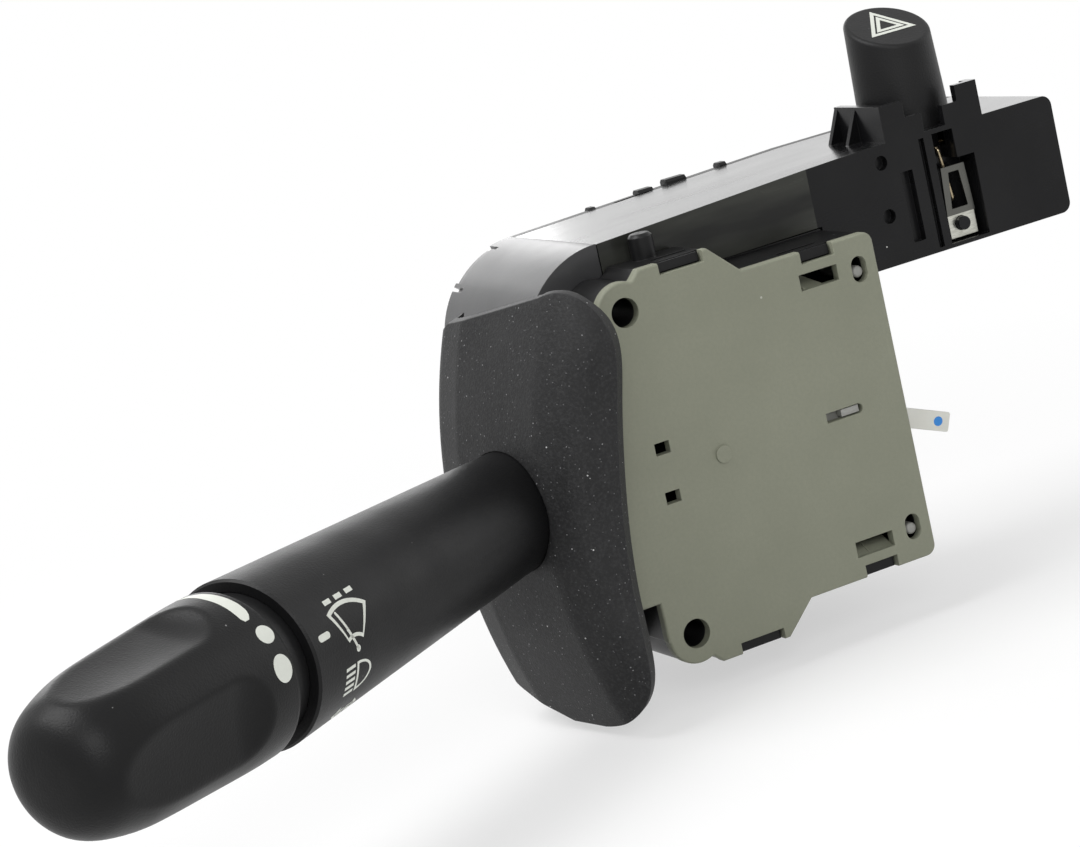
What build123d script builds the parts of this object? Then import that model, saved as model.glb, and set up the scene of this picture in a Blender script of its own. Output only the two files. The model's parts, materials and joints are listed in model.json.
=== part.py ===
from build123d import *
import os
from math import cos, sin, tan, radians, sqrt

os.makedirs("parts", exist_ok=True)

# Combination stalk switch for a steering column, in millimetres.
# Origin: midway between the two column screw holes, on the outer face of the cover plate.
# +X runs along the plate to the hazard box, +Y goes into the column, +Z is up.

# Column screws and cover plate
SCREW_R = 2.65
SCREW_SPACING = 59.4
BOSS_R = 5.5
PLATE_T = 2.0
PLATE_RIGHT = 51.6
PLATE_LEFT = -5.7
EAR_LEFT = -10.5
EAR_Z = 22.4
TAB_Z = 36.4
SIDE_Z = 30.8
TAB_X = (4.2, 18.3)
BEVEL_X = 24.2
CORNER_R = 2.0
TAB_NOTCH = (8.2, 17.2, 2.1)
SIDE_NOTCH = (36.3, 43.2, 2.3)
WINDOW = (35.2, 43.2, 23.8, 26.7)
PEEP = (-0.1, 2.8, 3.4, 5.6)
OBLONG = (47.7, 24.5, 3.1, 4.8)
PAWL_SLOT = (34.8, 42.5, 1.8)
PLATE_BUTTON_R = 1.6

# Housings
WALL = 2.2
FIT = 0.3
FRONT_D = 15.0
WEB_Y = 12.6
BACK_WALL = 2.0
REAR_D = 46.0
COVER_T = 2.3
BODY_LEFT = -14.7
BODY_RIGHT = 50.0
BODY_BOTTOM = -34.0
BODY_TOP = 31.0
BODY_CORNER = 13.0
END_ARC = (3.3, 22.8, 18.0)
END_T = 2.2
END_SLITS = (106.0, 140.0)
BOX_Y = 15.2
ARM_BACK = REAR_D + 3.0
ARM_LEFT_Z = 40.7
BOX_LEFT = 50.4
BOX_RIGHT = 104.8
BOX_TOP = 42.7
BOX_BOTTOM = 19.8
RAMP_X = 62.0
SEAM = 0.15
PEG = (10.75, 9.85, 2.25, 4.5)
MOUTH_Z = 17.0

# Turn carrier
PIVOT_X = 12.4
PIN_R = 2.5
RUN = 0.06
TURN_DEG = 12.0
CAGE_CHAMFER = 2.0
CARRIER = (24.0, FRONT_D + 3.3, REAR_D - 4.5)
CARRIER_WALL = 3.0
DETENT_R = 2.4
DETENT_TIP = 33.0
DETENT_Y = 30.0
CREST = 0.25
DRIVE_X = 31.0
DRIVE_R = 1.4

# Lever
LEVER_Y = 30.0
LEVER_Z = 1.25
RAKE = 31.7
EYE_R = 6.5
EYE_H = 14.0
FLASH_PIN_R = 2.0
ARM_W = 7.0
TAIL_X = 26.6
STALK_S = (38.0, 125.6)
STALK_R = (10.36, 14.41)
STALK_WALL = 2.0
SPIGOT_END = 62.0
KNOB_GAP = 4.6
KNOB_R = 14.1
KNOB_WALL = 1.5
KNOB_SEAT = 150.0
KNOB_PROFILE = (
    (14.1, 136.0), (13.72, 146.0), (13.35, 155.0), (13.0, 160.0), (12.34, 164.0), (11.2, 168.0),
    (9.9, 170.4), (8.1, 172.2), (5.6, 173.3), (2.6, 173.7), (0.0, 173.8))
FLUTES = 3
FLUTE_START = -12.0
FLUTE_R = 45.0
FLUTE_FLOOR = 11.5
FLUTE_LEAN = 1.85
FLUTE_FROM = 131.6
FLUTE_ROUND = 12.0
WASHER_TRAVEL = 3.0
ROD_R = 3.0
CUP_BORE = 9.5

# Lever shield
SHIELD_T = 2.4
SHIELD_AXIS = (66.0, -4.0)
SHIELD_SWEEP = 58.0

# Hazard button
BUTTON = (79.6, 27.2)
BUTTON_R = 8.0
BUTTON_TOP = 62.5
BUTTON_FOOT = 42.5
BUTTON_DRAFT = 0.034
BUTTON_SLOPE = 24.0
BUTTON_WALL = 1.4
BUTTON_TRAVEL = 3.5
PLUNGER_W = 8.0
COLLAR = (67.3, 89.2, 49.5)
COLLAR_T = 1.6

# Cancel pawl
PAWL_X = 38.7
PAWL_Y = 7.0
PAWL_T = 1.6
PAWL_W = 3.7
PAWL_REACH = 27.0
PAWL_DROOP = 21.5
PAWL_PIN_R = 1.5
PAWL_TRAVEL = 3.0

LEVER = Plane(
    origin=(PIVOT_X, LEVER_Y, LEVER_Z),
    x_dir=(sin(radians(RAKE)), -cos(radians(RAKE)), 0),
    z_dir=(-cos(radians(RAKE)), -sin(radians(RAKE)), 0),
)


def block(x0, x1, y0, y1, z0, z1):
    """Box between two corners."""
    return Pos((x0 + x1) / 2, (y0 + y1) / 2, (z0 + z1) / 2) * Box(x1 - x0, y1 - y0, z1 - z0)


def slab(face, y_from, y_to):
    """Extrude a face drawn in x and z between two depths along Y."""
    return extrude(Plane.XZ.offset(-y_from) * face, amount=y_from - y_to)


def post(x, z, radius, y_from, y_to):
    """Round post along Y."""
    return slab(Pos(x, z) * Circle(radius), y_from, y_to)


def column(x, y, radius, z0, z1):
    """Round column along Z."""
    return Pos(x, y, (z0 + z1) / 2) * Cylinder(radius, z1 - z0)


def turned(points):
    """Solid of revolution about the local Z axis from (radius, height) corners."""
    return revolve(Plane.XZ * make_face(Polyline(*points, close=True)), Axis.Z)


def rect(x0, x1, z0, z1):
    """Rectangle in x and z between two corners."""
    return Pos((x0 + x1) / 2, (z0 + z1) / 2) * Rectangle(x1 - x0, z1 - z0)


def coil(radius, wire, length, turns):
    """Helical spring standing on the local origin along Z."""
    path = Helix(pitch=length / turns, height=length - 2 * wire, radius=radius)
    ring = Plane(origin=path @ 0, z_dir=path % 0) * RegularPolygon(wire, 5)
    return Pos(0, 0, wire) * sweep(ring, path=path)


def stalk_radius(s):
    """Outer radius of the tapered stalk at a distance from the pivot."""
    share = (s - STALK_S[0]) / (STALK_S[1] - STALK_S[0])
    return STALK_R[0] + share * (STALK_R[1] - STALK_R[0])


# Cover plate and front housing

def plate_face():
    """Outline of the cover plate without its notches, mirrored about the pivot line."""
    hole_z = SCREW_SPACING / 2
    half = [
        (EAR_LEFT, EAR_Z), (PLATE_LEFT, EAR_Z), (PLATE_LEFT, hole_z), (1.7, 34.6), (2.6, 34.8),
        (TAB_X[0], TAB_Z), (TAB_X[1], TAB_Z), (BEVEL_X, SIDE_Z), (PLATE_RIGHT, SIDE_Z),
    ]
    points = half + [(x, -z) for x, z in reversed(half)]
    face = make_face(Polyline(*points, close=True))
    face = fillet(face.vertices().group_by(Axis.X)[-1], CORNER_R)
    for side in (1, -1):
        face += Pos(0, side * hole_z) * Circle(BOSS_R)
    return face


def plate_cuts():
    """Holes, notches and windows of the cover plate as one face."""
    hole_z = SCREW_SPACING / 2
    cuts = rect(PAWL_SLOT[0], PAWL_SLOT[1] - PAWL_SLOT[2] / 2, -PAWL_SLOT[2] / 2, PAWL_SLOT[2] / 2)
    cuts += Pos(PAWL_SLOT[1] - PAWL_SLOT[2] / 2, 0) * Circle(PAWL_SLOT[2] / 2)
    for side in (1, -1):
        cuts += Pos(0, side * hole_z) * Circle(SCREW_R)
        for x0, x1, depth, top in ((*TAB_NOTCH, TAB_Z), (*SIDE_NOTCH, SIDE_Z)):
            cuts += Pos((x0 + x1) / 2, side * top) * Rectangle(x1 - x0, 2 * depth)
        for x0, x1, z0, z1 in (WINDOW, PEEP):
            cuts += Pos((x0 + x1) / 2, side * (z0 + z1) / 2) * Rectangle(x1 - x0, z1 - z0)
        oblong = Rot(0, 0, 90) * SlotOverall(OBLONG[3], OBLONG[2])
        cuts += Pos(OBLONG[0], side * OBLONG[1]) * oblong
    return cuts


def cover_plate():
    """Moulded cover plate with a softened rim, notches and windows."""
    plate = slab(plate_face(), 0, PLATE_T)
    front = plate.faces().sort_by(Axis.Y)[0]
    plate = fillet(front.outer_wire().edges(), 0.5)
    plate -= slab(plate_cuts(), -1, PLATE_T + 1)
    return plate + post(PIVOT_X + 0.4, 0, PLATE_BUTTON_R, -0.5, 0)


def hooks():
    """Snap hooks of the front housing that reach into the notches of the plate."""
    shape = []
    for side in (1, -1):
        for (x0, x1, depth), top in ((TAB_NOTCH, TAB_Z), (SIDE_NOTCH, SIDE_Z)):
            low, high = sorted((side * (top - depth + FIT), side * (top - 0.2)))
            shape.append(block(x0 + FIT, x1 - FIT, PLATE_T - 0.9, PLATE_T + 3, low, high))
    return shape


def clip_slots():
    """Thin slots behind the hooks that let them flex."""
    cuts = []
    for side in (1, -1):
        for x0, x1, y0, top in ((10.0, 17.0, 5.2, TAB_Z), (34.5, 42.5, 4.6, SIDE_Z)):
            low, high = sorted((side * (top - WALL - 0.6), side * (top + 1)))
            cuts.append(block(x0, x1, y0, y0 + 1.1, low, high))
    return cuts


def front_housing():
    """Black tray behind the plate with screw bosses, pawl rails and the guide peg."""
    outline = plate_face()
    ear = rect(EAR_LEFT - 1, PLATE_LEFT, -EAR_Z - 1, EAR_Z + 1)
    outline = offset(outline - ear, -0.15)
    tray = slab(outline, PLATE_T, FRONT_D)
    tray -= slab(offset(outline, -WALL, kind=Kind.INTERSECTION), PLATE_T, FRONT_D - BACK_WALL)
    hole_z = SCREW_SPACING / 2
    for side in (1, -1):
        tray += post(0, side * hole_z, BOSS_R - 0.2, PLATE_T, FRONT_D)
    back = FRONT_D - BACK_WALL
    for side in (1, -1):
        low, high = sorted((side * (4 + FIT), side * (5.5 + FIT)))
        tray += block(30, 41.5, PLATE_T + FIT, back, low, high)
    tray += block(21.5, 23.5, PLATE_T + FIT, back, -4, 4)
    for part in hooks():
        tray += part
    peg_top = TAB_Z + PEG[3]
    peg = column(PEG[0], PEG[1], PEG[2], TAB_Z - 1, peg_top)
    tray += chamfer(peg.faces().sort_by(Axis.Z)[-1].edges(), 0.6)
    for part in clip_slots():
        tray -= part
    for side in (1, -1):
        tray -= post(0, side * hole_z, SCREW_R + 0.15, 0, FRONT_D + 1)
    tray -= post(PIVOT_X, 0, PIN_R + 1, back - 1, FRONT_D + 1)
    tray -= block(-20, BODY_RIGHT + 10, WEB_Y - FIT, FRONT_D + 1, BODY_TOP, TAB_Z + 0.5)
    tray -= block(-20, 4, 6.2, FRONT_D + 1, -MOUTH_Z, MOUTH_Z)
    tray -= block(PLATE_RIGHT - 4, PLATE_RIGHT + 1, PAWL_Y - 0.6, PAWL_Y + PAWL_T + 0.6, -14.5, 14.5)
    return tray


# Rear housing, its covers and the end cover

def body_face(inset=0.0):
    """Outline of the rear housing; its top left corner steps in under the end cover."""
    cx, cz, radius = END_ARC
    inner = radius - END_T - 0.2 - inset
    box = rect(BODY_LEFT + inset, BODY_RIGHT - inset, BODY_BOTTOM + inset, BODY_TOP - inset)
    low_left = box.vertices().group_by(Axis.Y)[0].sort_by(Axis.X)[0]
    box = fillet(low_left, BODY_CORNER - inset)
    corner = rect(BODY_LEFT - 1, cx, cz - 0.2 - inset, BODY_TOP + 1)
    return box - (corner - Pos(cx, cz) * Circle(inner))


def rear_housing():
    """Deep housing round the carrier, open at the back, with the lever mouth at the left."""
    shell = slab(body_face(), FRONT_D, REAR_D)
    shell -= slab(body_face(WALL), FRONT_D + BACK_WALL, REAR_D + 1)
    hole_z = SCREW_SPACING / 2
    front = FRONT_D + BACK_WALL
    for side in (1, -1):
        shell += post(0, side * hole_z, BOSS_R - 0.6, FRONT_D, REAR_D)
    shell += post(PIVOT_X, 0, PIN_R + 2.5, front, CARRIER[1] - FIT)
    for side in (1, -1):
        shell -= post(0, side * hole_z, SCREW_R + 0.15, FRONT_D - 1, REAR_D + 1)
    shell -= post(PIVOT_X, 0, PIN_R + RUN, FRONT_D - 1, CARRIER[1])
    shell -= block(BODY_LEFT - 1, 4.5, FRONT_D - 1, 31, -MOUTH_Z, MOUTH_Z)
    shell -= block(-20, 5, FRONT_D - 3, REAR_D + 1, BODY_TOP + 3.0, TAB_Z + 3)
    return shell


def rear_cover():
    """Cover over the back of the rear housing with the carrier bearing and board posts."""
    cover = slab(body_face(), REAR_D, REAR_D + COVER_T)
    cover += slab(body_face(WALL + FIT), REAR_D - 1.5, REAR_D) - slab(
        body_face(WALL + FIT + 1.5), REAR_D - 2, REAR_D)
    cover += post(PIVOT_X, 0, PIN_R + 2.5, CARRIER[2] + FIT, REAR_D)
    for x in (28.0, 45.0):
        for z in (-8.0, 18.0):
            cover += post(x, z, 1.8, BOARD_Y + BOARD_T, REAR_D)
    hole_z = SCREW_SPACING / 2
    for side in (1, -1):
        cover -= post(0, side * hole_z, BOSS_R - 0.3, REAR_D - 2, REAR_D)
        cover -= post(0, side * hole_z, SCREW_R + 0.15, REAR_D - 3, ARM_BACK)
    cover -= post(PIVOT_X, 0, PIN_R + RUN, CARRIER[2], REAR_D)
    cover -= block(SOCKET[0], SOCKET[1], REAR_D - 1, ARM_BACK, SOCKET[2], SOCKET[3])
    return cover


def end_cover():
    """Quarter-round end of the arm over the left of the body, with a front and back wall."""
    cx, cz, radius = END_ARC
    quarter = (Pos(cx, cz) * Circle(radius)) & rect(cx - radius - 1, cx, cz, cz + radius + 1)
    inner = (Pos(cx, cz) * Circle(radius - END_T)) & rect(cx - radius, cx + 1, cz - 1, cz + radius)
    shell = slab(quarter - inner, WEB_Y, REAR_D + COVER_T)
    front_wall = quarter - rect(PLATE_LEFT - 0.4, cx + 1, cz - 1, BODY_TOP + FIT)
    shell += slab(front_wall, WEB_Y, WEB_Y + 1.8)
    back_wall = quarter & rect(cx - radius, cx, BODY_TOP + FIT, cz + radius)
    shell += slab(back_wall, REAR_D + COVER_T - 1.8, REAR_D + COVER_T)
    back = REAR_D + COVER_T
    ledge = (Pos(cx, cz) * Circle(radius + 1)) - (Pos(cx, cz) * Circle(radius - 0.5))
    shell -= slab(ledge & rect(-9.6, -1.8, cz + 9, cz + 19), back - 2.6, back + 1)
    for angle in END_SLITS:
        slit = Pos(cx, cz) * Rot(0, 0, angle) * Pos(radius, 0) * Rectangle(2.4, 0.8)
        shell -= slab(slit, back - 4.2, back + 1)
    return shell - post(0, SCREW_SPACING / 2, BOSS_R - 0.3, FRONT_D, ARM_BACK)


# Arm and hazard box

def arm_face():
    """Side outline of the arm and the hazard box in x and z."""
    left = END_ARC[0] + SEAM
    points = [
        (left, BODY_TOP + 0.1), (left, ARM_LEFT_Z), (RAMP_X, BOX_TOP), (BOX_RIGHT, BOX_TOP),
        (BOX_RIGHT, BOX_BOTTOM), (BOX_LEFT, BOX_BOTTOM), (BOX_LEFT, BODY_TOP + 0.1),
    ]
    face = make_face(Polyline(*points, close=True))
    face = fillet(face.vertices().group_by(Axis.X)[-1], CORNER_R)
    return face


def arm_plan():
    """Plan outline of the arm: the web slants back to the front plane of the box."""
    return make_face(Polyline(
        (END_ARC[0], WEB_Y), (BOX_LEFT - 1.4, BOX_Y), (BOX_RIGHT, BOX_Y),
        (BOX_RIGHT, ARM_BACK - COVER_T), (END_ARC[0], ARM_BACK - COVER_T), close=True))


def collar():
    """Upstands round the button: left wall with gussets, front tabs and a short return."""
    left, right, top = COLLAR
    y0 = BOX_Y
    wall = block(left, left + COLLAR_T, y0, y0 + 16.2, BOX_TOP - 0.5, top)
    front = rect(left, left + 8.8, BOX_TOP - 0.5, BOX_TOP + 3.6) + rect(left, left + 5.2, BOX_TOP, top)
    tab = rect(right - 8.4, right, BOX_TOP - 0.5, BOX_TOP + 3.8) + rect(right - 4.9, right, BOX_TOP, top)
    parts = wall + slab(front, y0, y0 + COLLAR_T) + slab(tab, y0, y0 + COLLAR_T)
    parts += block(right - COLLAR_T, right, y0, y0 + 3.4, BOX_TOP - 0.5, top)
    for y in (y0 + 8.6, y0 + 15.0):
        gusset = make_face(Polyline(
            (left + 0.1, BOX_TOP - 0.3), (left - 3.0, BOX_TOP - 0.3), (left + 0.1, top - 0.2), close=True))
        parts += slab(gusset, y, y + 1.2)
    return parts


def box_front_cuts():
    """Holes, slot, grooves and the contact recess in the front of the hazard box."""
    cuts = post(65.5, 39.3, 1.35, BOX_Y - 1, BOX_Y + 1.7)
    cuts += post(65.0, 29.2, 1.35, BOX_Y - 1, BOX_Y + 1.7)
    cuts += block(69.2, 71.8, BOX_Y - 1, BOX_Y + 1.7, 23.0, 36.5)
    cuts += block(74.4, 75.5, BOX_Y - 1, BOX_Y + 1.2, 20.6, 41.6)
    cuts += block(RECESS[0], RECESS[1], BOX_Y - 1, RECESS[4], RECESS[2], RECESS[3])
    cuts += block(77.4, 82.0, BOX_Y - 1, RECESS[4], RECESS[3] - 1, BOX_TOP - 0.9)
    return cuts


def arm_housing():
    """Arm over the body and the hazard box, with its collar, recess and plunger guide."""
    outer = slab(arm_face(), 0, ARM_BACK) & extrude(arm_plan(), amount=60)
    arm_hollow = make_face(Polyline(
        (0, 30), (0, ARM_LEFT_Z - WALL), (BOX_LEFT - 1, ARM_LEFT_Z - WALL + 1.4), (BOX_LEFT - 1, 30),
        close=True))
    hollow = slab(arm_hollow, WEB_Y + WALL + 2.4, ARM_BACK)
    box = rect(BOX_LEFT + WALL, BOX_RIGHT - WALL, BOX_BOTTOM + WALL, BOX_TOP - WALL)
    hollow += slab(fillet(box.vertices(), 1.0), BOX_Y + WALL, ARM_BACK)
    body = outer - hollow + collar()
    recess = block(RECESS[0] - 1.2, RECESS[1] + 1.2, BOX_Y + 1, RECESS[4] + 1.0,
                   RECESS[2] - 0.2, RECESS[3] + 5.2)
    x, y = BUTTON
    half = PLUNGER_W / 2 + FIT
    guide = block(x - half - 1.2, x + half + 1.2, y - half - 1.2, y + half + 1.2, GUIDE[0], GUIDE[1])
    rib = block(x - 1, x + 1, y + half, ARM_BACK - COVER_T, GUIDE[0], GUIDE[1])
    body += recess + guide + rib
    body += block(x - half, x + half, RECESS[4] + 0.5, y - half, GUIDE[0], GUIDE[1])
    body -= block(x - half, x + half, y - half, y + half, GUIDE[0] - 1, GUIDE[1] + 1)
    body -= box_front_cuts()
    cap_hole = BUTTON_R + (BUTTON_TOP - BUTTON_FOOT) * BUTTON_DRAFT + 0.4
    body -= column(x, y, cap_hole, BUTTON_FOOT - BUTTON_TRAVEL - 0.4, BOX_TOP + 0.5)
    body -= post(0, SCREW_SPACING / 2, BOSS_R, WEB_Y - 1, ARM_BACK)
    pad = block(PAD[0], PAD[1], FRAME_Y + FRAME_T, RECESS[4] + 0.5, PAD[2], PAD[3])
    body += pad + post(STUD[0], STUD[1], STUD[2], BOX_Y + 0.8, RECESS[4] + 0.5)
    return body


def arm_back_cover():
    """Cover over the back of the arm and the box; its clips hook over the top edge."""
    cover = slab(arm_face(), ARM_BACK - COVER_T, ARM_BACK)
    box = rect(BOX_LEFT + WALL, BOX_RIGHT - WALL, BOX_BOTTOM + WALL, BOX_TOP - WALL)
    cover -= block(25.6, 33.7, ARM_BACK - COVER_T, ARM_BACK - COVER_T + 1.0, ARM_LEFT_Z - 2.0, BOX_TOP)
    lip = offset(box, -FIT) - offset(box, -1.5 - FIT)
    cover += slab(lip, ARM_BACK - COVER_T - 1.5, ARM_BACK - COVER_T)
    for x, width, rise in CLIPS:
        z = ARM_LEFT_Z + (x - END_ARC[0]) * (BOX_TOP - ARM_LEFT_Z) / (RAMP_X - END_ARC[0])
        clip = block(x, x + width, ARM_BACK - 1.2, ARM_BACK + 1.6, z - 5, z + rise)
        cover += chamfer(clip.edges().filter_by(Axis.X).sort_by(Axis.Z)[-2:], 0.5)
    return cover


# Connector, terminal board and contacts

SOCKET = (21.0, 46.0, -26.0, -12.0)
SOCKET_WALL = 1.6
SOCKET_DEEP = 13.0
PIN_ROWS = 2
PIN_COLS = 6
PIN_PITCH = 3.6
BOARD_Y = REAR_D - 3.2
BOARD_T = 1.6
BOARD_HALF = 22.0
CONTACT_T = 0.3
SLIDER = (27.0, 35.0, BOARD_Y - 4.8, 5.0)
RAIL_T = 1.0


def socket_holes():
    """Centres of the blade terminals in the connector."""
    cx = (SOCKET[0] + SOCKET[1]) / 2
    cz = (SOCKET[2] + SOCKET[3]) / 2
    places = []
    for row in range(PIN_ROWS):
        for col in range(PIN_COLS):
            x = cx + (col - (PIN_COLS - 1) / 2) * PIN_PITCH
            places.append((x, cz + (row - (PIN_ROWS - 1) / 2) * 5.0))
    return places


def connector_socket():
    """Rectangular shroud with a key rib, closed by a floor that holds the blades."""
    outer = rect(*SOCKET)
    inner = offset(outer, -SOCKET_WALL)
    floor_y = REAR_D - 1.0
    shroud = slab(fillet(outer.vertices(), 1.2), floor_y, REAR_D + COVER_T + SOCKET_DEEP)
    shroud -= slab(fillet(inner.vertices(), 0.6), floor_y + 3, REAR_D + COVER_T + SOCKET_DEEP + 1)
    cx = (SOCKET[0] + SOCKET[1]) / 2
    mouth = REAR_D + COVER_T + SOCKET_DEEP
    latch = block(cx - 3, cx + 3, mouth - 7, mouth - 3, SOCKET[3] - 0.1, SOCKET[3] + 1.2)
    shroud += chamfer(latch.faces().sort_by(Axis.Y)[-1].edges().sort_by(Axis.Z)[-1:], 1.0)
    for x, z in socket_holes():
        shroud -= block(x - 0.85, x + 0.85, floor_y - 1, floor_y + 4, z - 0.35, z + 0.35)
    return shroud


def connector_pins():
    """Blade terminals with tapered tips, held in the floor of the socket."""
    blades = []
    tip = REAR_D + COVER_T + SOCKET_DEEP - 3
    for x, z in socket_holes():
        blade = block(x - 0.75, x + 0.75, BOARD_Y + BOARD_T + 0.1, tip, z - 0.3, z + 0.3)
        end = blade.faces().sort_by(Axis.Y)[-1].edges().filter_by(Axis.Z)
        blades.append(chamfer(end, 0.4))
    return Compound(children=blades)


def terminal_board():
    """Board on the posts of the rear cover, with two rails that guide the turn slider."""
    right = BODY_RIGHT - WALL - FIT
    face = rect(CARRIER[0] + 1.6, right, -BOARD_HALF, BOARD_HALF)
    board = slab(fillet(face.vertices(), 1.5), BOARD_Y, BOARD_Y + BOARD_T)
    board -= block(SOCKET[0], SOCKET[1], BOARD_Y - 1, BOARD_Y + BOARD_T + 1, -BOARD_HALF - 1, SOCKET[3] + 1)
    for x in (SLIDER[0] - 0.15 - RAIL_T, SLIDER[1] + 0.15):
        board += block(x, x + RAIL_T, SLIDER[2], BOARD_Y, -10.5, 10.5)
    return board


def fixed_contacts():
    """Three copper strips on the board, one for each lever position."""
    strips = []
    for z0, z1 in ((-9.0, -3.6), (-2.2, 2.2), (3.6, 9.0)):
        strips.append(block(28.6, 33.4, BOARD_Y - CONTACT_T, BOARD_Y, z0, z1))
    return Compound(children=strips)


def turn_slider():
    """Contact slider with a slot for the drive pin of the carrier."""
    x0, x1, y0, half = SLIDER
    body = block(x0, x1, y0, BOARD_Y - 3 * CONTACT_T, -half, half)
    body = fillet(body.edges().filter_by(Axis.Y), 0.8)
    slot = Pos(DRIVE_X, 0) * SlotOverall(2 * DRIVE_R + 2.4, 2 * (DRIVE_R + 0.1))
    return body - slab(slot, y0 - 1, y0 + 3.2)


def turn_contacts():
    """Copper bridge on the back of the turn slider."""
    y1 = BOARD_Y - 2 * CONTACT_T
    return block(29.0, 33.0, y1 - CONTACT_T, y1, -4.4, 4.4)


# Turn carrier and detent

def turn_carrier():
    """Cage on two bearing pins that holds the lever's vertical pin and the detent barrel."""
    x1, y0, y1 = CARRIER
    top = LEVER_Z + EYE_H / 2 + FIT
    low = LEVER_Z - EYE_H / 2 - FIT
    plan = Pos((6 + x1) / 2, (y0 + y1) / 2) * Rectangle(x1 - 6, y1 - y0)
    plan = fillet(plan.vertices().group_by(Axis.X)[0], 4)
    cage = Pos(0, 0, low - CARRIER_WALL) * extrude(plan, amount=top - low + 2 * CARRIER_WALL)
    cage = chamfer(cage.edges().filter_by(Axis.Y).group_by(Axis.X)[-1], CAGE_CHAMFER)
    cage -= block(0, x1 - 4.2, y0 + CARRIER_WALL, y1 - CARRIER_WALL, low, top)
    cage -= block(0, PIVOT_X - PIN_R - 0.9, y0 - 1, y1 + 1, low, top)
    cage -= block(x1 - 6, x1 + 1, 26, y1 - CARRIER_WALL, 4.5, top)
    barrel = Plane(origin=(x1 - 4.2, DETENT_Y, 0), z_dir=(1, 0, 0)) * Cylinder(
        DETENT_R + 1.8, 9.2, align=(Align.CENTER, Align.CENTER, Align.MIN))
    cage += barrel
    bore = Plane(origin=(x1 - 3.0, DETENT_Y, 0), z_dir=(1, 0, 0)) * Cylinder(
        DETENT_R + 0.08, 12, align=(Align.CENTER, Align.CENTER, Align.MIN))
    shelf = block(x1 - 0.5, 30.0, 24.5, 36.0, top, top + 1.2)
    shelf -= block(TAIL_X - 1.8, TAIL_X + 1.8, LEVER_Y - 1.8, LEVER_Y + 4.0, top - 1, top + 2)
    cage += shelf
    drive_y = SLIDER[2] - 0.4
    cage += block(x1 - 1, DRIVE_X + 2.0, drive_y - 1.2, drive_y, -3, 3)
    cage += block(x1 - 1, x1 + 1, drive_y - 3.6, drive_y, -3, 3)
    cage += post(DRIVE_X, 0, DRIVE_R, drive_y, SLIDER[2] + 2.9)
    cage -= bore
    cage += post(PIVOT_X, 0, PIN_R, FRONT_D - 0.6, y0) + post(PIVOT_X, 0, PIN_R, y1, REAR_D - 0.3)
    return cage - column(PIVOT_X, LEVER_Y, FLASH_PIN_R, low - 10, top + 10)


def flash_pivot_pin():
    """Steel pin through the cage and the eye of the lever."""
    half = EYE_H / 2 + FIT + CARRIER_WALL
    pin = column(PIVOT_X, LEVER_Y, FLASH_PIN_R, LEVER_Z - half, LEVER_Z + half)
    return chamfer(pin.edges(), 0.3)


def detent_plunger():
    """Round plunger with a ball tip that runs on the detent track."""
    start = CARRIER[0] + 1.6
    stem = Cylinder(DETENT_R, DETENT_TIP - DETENT_R - start, align=(Align.CENTER, Align.CENTER, Align.MIN))
    ball = Pos(0, 0, DETENT_TIP - DETENT_R - start) * Sphere(DETENT_R)
    return Plane(origin=(start, DETENT_Y, 0), z_dir=(1, 0, 0)) * (stem + ball)


def detent_track():
    """Curved track about the turn pivot with a valley for left, centre and right."""
    reach = DETENT_TIP - PIVOT_X
    track = block(PIVOT_X + reach - 3, PIVOT_X + reach + 4, FRONT_D + BACK_WALL, DETENT_Y + 4, -7.4, 7.4)
    track -= post(PIVOT_X, 0, reach + CREST, FRONT_D, DETENT_Y + 6)
    for angle in (-TURN_DEG, 0, TURN_DEG):
        x = PIVOT_X + (reach - DETENT_R + 0.5) * cos(radians(angle))
        z = (reach - DETENT_R + 0.5) * sin(radians(angle))
        track -= post(x, z, DETENT_R + 0.3, FRONT_D, DETENT_Y + 6)
    return track


# Lever

def lever_yoke():
    """Root of the lever: eye on the vertical pin, neck, spigot for the stalk and tail."""
    eye = column(PIVOT_X, LEVER_Y, EYE_R, LEVER_Z - EYE_H / 2, LEVER_Z + EYE_H / 2)
    neck = LEVER * (Pos(0, 0, 13.5) * Box(ARM_W, EYE_H - 1, 23))
    neck = fillet(neck.edges().filter_by(Axis(LEVER.origin, LEVER.z_dir)), 1.5)
    gap = STALK_WALL + 0.05
    spigot = LEVER * turned([
        (0, 24), (4.5, 24), (4.9, 36.5), (stalk_radius(43) - gap, 43),
        (stalk_radius(SPIGOT_END) - gap, SPIGOT_END), (0, SPIGOT_END)])
    spigot -= LEVER * (Pos(0, 0, SPIGOT_END - 10) * Cylinder(ROD_R + 2, 22))
    tail = block(PIVOT_X + 5, TAIL_X + 2.0, LEVER_Y - 2.6, LEVER_Y + 2.6, 4.8, 7.8)
    pin = column(TAIL_X, LEVER_Y, 1.25, 7, 11.0)
    yoke = eye + neck + spigot + tail + pin
    return yoke - column(PIVOT_X, LEVER_Y, FLASH_PIN_R + RUN, -20, 20)


def lever_stalk():
    """Tapered hollow stalk with a softened outer rim."""
    s0, s1 = STALK_S
    wall = STALK_WALL
    profile = [
        (STALK_R[0] - wall, s0), (STALK_R[0], s0), (STALK_R[1], s1 - 0.4), (STALK_R[1] - 0.4, s1),
        (STALK_R[1] - wall, s1)]
    return LEVER * turned(profile)


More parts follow.
